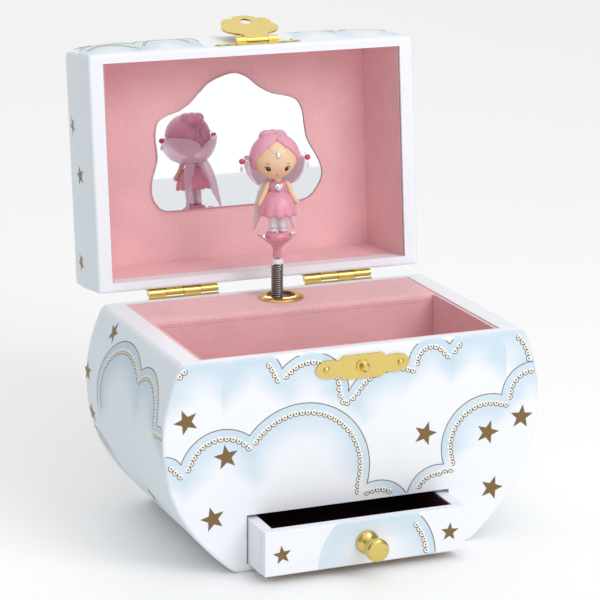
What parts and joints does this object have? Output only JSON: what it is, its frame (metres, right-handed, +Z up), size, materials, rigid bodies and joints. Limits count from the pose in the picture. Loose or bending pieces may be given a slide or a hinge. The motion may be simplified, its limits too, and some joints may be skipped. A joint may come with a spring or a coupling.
{
  "type": "musical jewellery box",
  "caption": "Musical jewellery box: curved papered case, hinged lid with mirror, pull-out drawer, hasp, winding key and a spring-mounted doll that turns and folds under the lid.",
  "frame": {"origin": "middle of the case's flat underside, on the floor", "axes": "+X to the right seen from the front, +Y to the back, +Z up; the lid hinges turn about lines along X at the back"},
  "size_m": [0.1662, 0.1805, 0.2044],
  "materials": {
    "front_panel": "pulp board under printed paper, satin",
    "back_panel": "pulp board under printed paper, satin",
    "side_board_left": "pulp board under printed paper, satin",
    "side_board_right": "pulp board under printed paper, satin",
    "base_board": "bare board, matte",
    "drawer_deck": "bare board, matte",
    "tray_floor_lining": "flocked card",
    "tray_wall_lining": "flocked card",
    "partition": "flocked card",
    "platform": "flocked card",
    "ring": "bright plated",
    "strike_plate": "bright plated",
    "strike_post": "bright plated",
    "strike_nail_left": "bright plated",
    "strike_nail_right": "bright plated",
    "hinge_case_leaf_left": "bright plated",
    "hinge_case_leaf_right": "bright plated",
    "movement_frame": "plain",
    "spring_barrel": "bright plated",
    "comb": "plain",
    "comb_screw_1": "plain",
    "comb_screw_2": "plain",
    "frame_screw_1": "plain",
    "frame_screw_2": "plain",
    "frame_screw_3": "plain",
    "dancer_spring": "bright plated",
    "lid_front": "pulp board under printed paper, satin",
    "lid_back": "pulp board under printed paper, satin",
    "lid_left": "pulp board under printed paper, satin",
    "lid_right": "pulp board under printed paper, satin",
    "lid_top": "pulp board under printed paper, satin",
    "lid_panel": "flocked card",
    "lid_wall_lining": "flocked card",
    "mirror": "thin acrylic mirror",
    "hinge_lid_leaf_left": "bright plated",
    "hinge_lid_leaf_right": "bright plated",
    "hasp_leaf": "bright plated",
    "drawer_front": "pulp board under printed paper, satin",
    "drawer_back": "pulp board under printed paper, satin",
    "drawer_left": "pulp board under printed paper, satin",
    "drawer_right": "pulp board under printed paper, satin",
    "drawer_floor": "bare board, matte",
    "drawer_lining": "flocked card",
    "drawer_knob": "bright plated",
    "dancer_stand": "moulded, glossy",
    "dancer_legs": "moulded, silver paint",
    "dancer_dress": "moulded, glossy",
    "dancer_arm_left": "moulded, glossy",
    "dancer_arm_right": "moulded, glossy",
    "dancer_head": "moulded, glossy",
    "dancer_hair": "moulded, glossy",
    "dancer_wings": "moulded, translucent",
    "dancer_heart": "moulded, silver paint",
    "hasp_flap": "bright plated",
    "spring_collar": "bright plated",
    "cylinder": "bright plated",
    "great_wheel": "bright plated",
    "winding_key": "bright plated",
    "governor": "bright plated"
  },
  "bodies": {
    "case": {"front_panel": "front_panel", "back_panel": "back_panel", "side_board_left": "side_board_left", "side_board_right": "side_board_right", "base_board": "base_board", "drawer_deck": "drawer_deck", "tray_floor_lining": "tray_floor_lining", "tray_wall_lining": "tray_wall_lining", "partition": "partition", "platform": "platform", "ring": "ring", "strike_plate": "strike_plate", "strike_post": "strike_post", "strike_nail_left": "strike_nail_left", "strike_nail_right": "strike_nail_right", "hinge_case_leaf_left": "hinge_case_leaf_left", "hinge_case_leaf_right": "hinge_case_leaf_right", "movement_frame": "movement_frame", "spring_barrel": "spring_barrel", "comb": "comb", "comb_screw_1": "comb_screw_1", "comb_screw_2": "comb_screw_2", "frame_screw_1": "frame_screw_1", "frame_screw_2": "frame_screw_2", "frame_screw_3": "frame_screw_3", "dancer_spring": "dancer_spring"},
    "lid": {"lid_front": "lid_front", "lid_back": "lid_back", "lid_left": "lid_left", "lid_right": "lid_right", "lid_top": "lid_top", "lid_panel": "lid_panel", "lid_wall_lining": "lid_wall_lining", "mirror": "mirror", "hinge_lid_leaf_left": "hinge_lid_leaf_left", "hinge_lid_leaf_right": "hinge_lid_leaf_right", "hasp_leaf": "hasp_leaf"},
    "hasp": {"hasp_flap": "hasp_flap"},
    "drawer": {"drawer_front": "drawer_front", "drawer_back": "drawer_back", "drawer_left": "drawer_left", "drawer_right": "drawer_right", "drawer_floor": "drawer_floor", "drawer_lining": "drawer_lining", "drawer_knob": "drawer_knob"},
    "mast": {"spring_collar": "spring_collar"},
    "dancer": {"dancer_stand": "dancer_stand", "dancer_legs": "dancer_legs", "dancer_dress": "dancer_dress", "dancer_arm_left": "dancer_arm_left", "dancer_arm_right": "dancer_arm_right", "dancer_head": "dancer_head", "dancer_hair": "dancer_hair", "dancer_wings": "dancer_wings", "dancer_heart": "dancer_heart"},
    "music_cylinder": {"cylinder": "cylinder"},
    "key": {"great_wheel": "great_wheel", "winding_key": "winding_key"},
    "fan": {"governor": "governor"}
  },
  "joints": [
    {"name": "lid_hinge", "type": "hinge", "parent": "case", "child": "lid", "pos_m": [-0.0015, 0.05183, 0.09202], "axis": [1, 0, 0], "range_deg": [0, 95.8]},
    {"name": "hasp_hinge", "type": "hinge", "parent": "lid", "child": "hasp", "pos_m": [0.0024, 0.06729, 0.19697], "axis": [1, 0, 0], "range_deg": [-15, 155.8]},
    {"name": "drawer_slide", "type": "slide", "parent": "case", "child": "drawer", "axis": [0, -1, 0], "range_m": [-0.0183, 0.05]},
    {"name": "cylinder_spin", "type": "hinge", "parent": "case", "child": "music_cylinder", "pos_m": [-0.0016, 0.033, 0.07], "axis": [0, 0, 1], "continuous": true},
    {"name": "key_spin", "type": "hinge", "parent": "case", "child": "key", "pos_m": [-0.0016, 0.05, 0.042], "axis": [0, 1, 0], "continuous": true},
    {"name": "fan_spin", "type": "hinge", "parent": "case", "child": "fan", "pos_m": [0.0056, 0.0251, 0.07], "axis": [0, 0, 1], "continuous": true},
    {"name": "dancer_fold", "type": "hinge", "parent": "case", "child": "mast", "pos_m": [-0.0016, 0.033, 0.097], "axis": [1, 0, 0], "range_deg": [0, 85], "deforming": ["dancer_spring"]},
    {"name": "dancer_spin", "type": "hinge", "parent": "mast", "child": "dancer", "pos_m": [-0.0016, 0.033, 0.11], "axis": [0, 0, 1], "continuous": true}
  ],
  "couplings": [
    {"joint": "key_spin", "follows": "cylinder_spin", "ratio": 0.33333},
    {"joint": "fan_spin", "follows": "cylinder_spin", "ratio": -8},
    {"joint": "dancer_spin", "follows": "cylinder_spin", "ratio": 1},
    {"joint": "dancer_fold", "follows": "lid_hinge", "ratio": 0.8872}
  ]
}
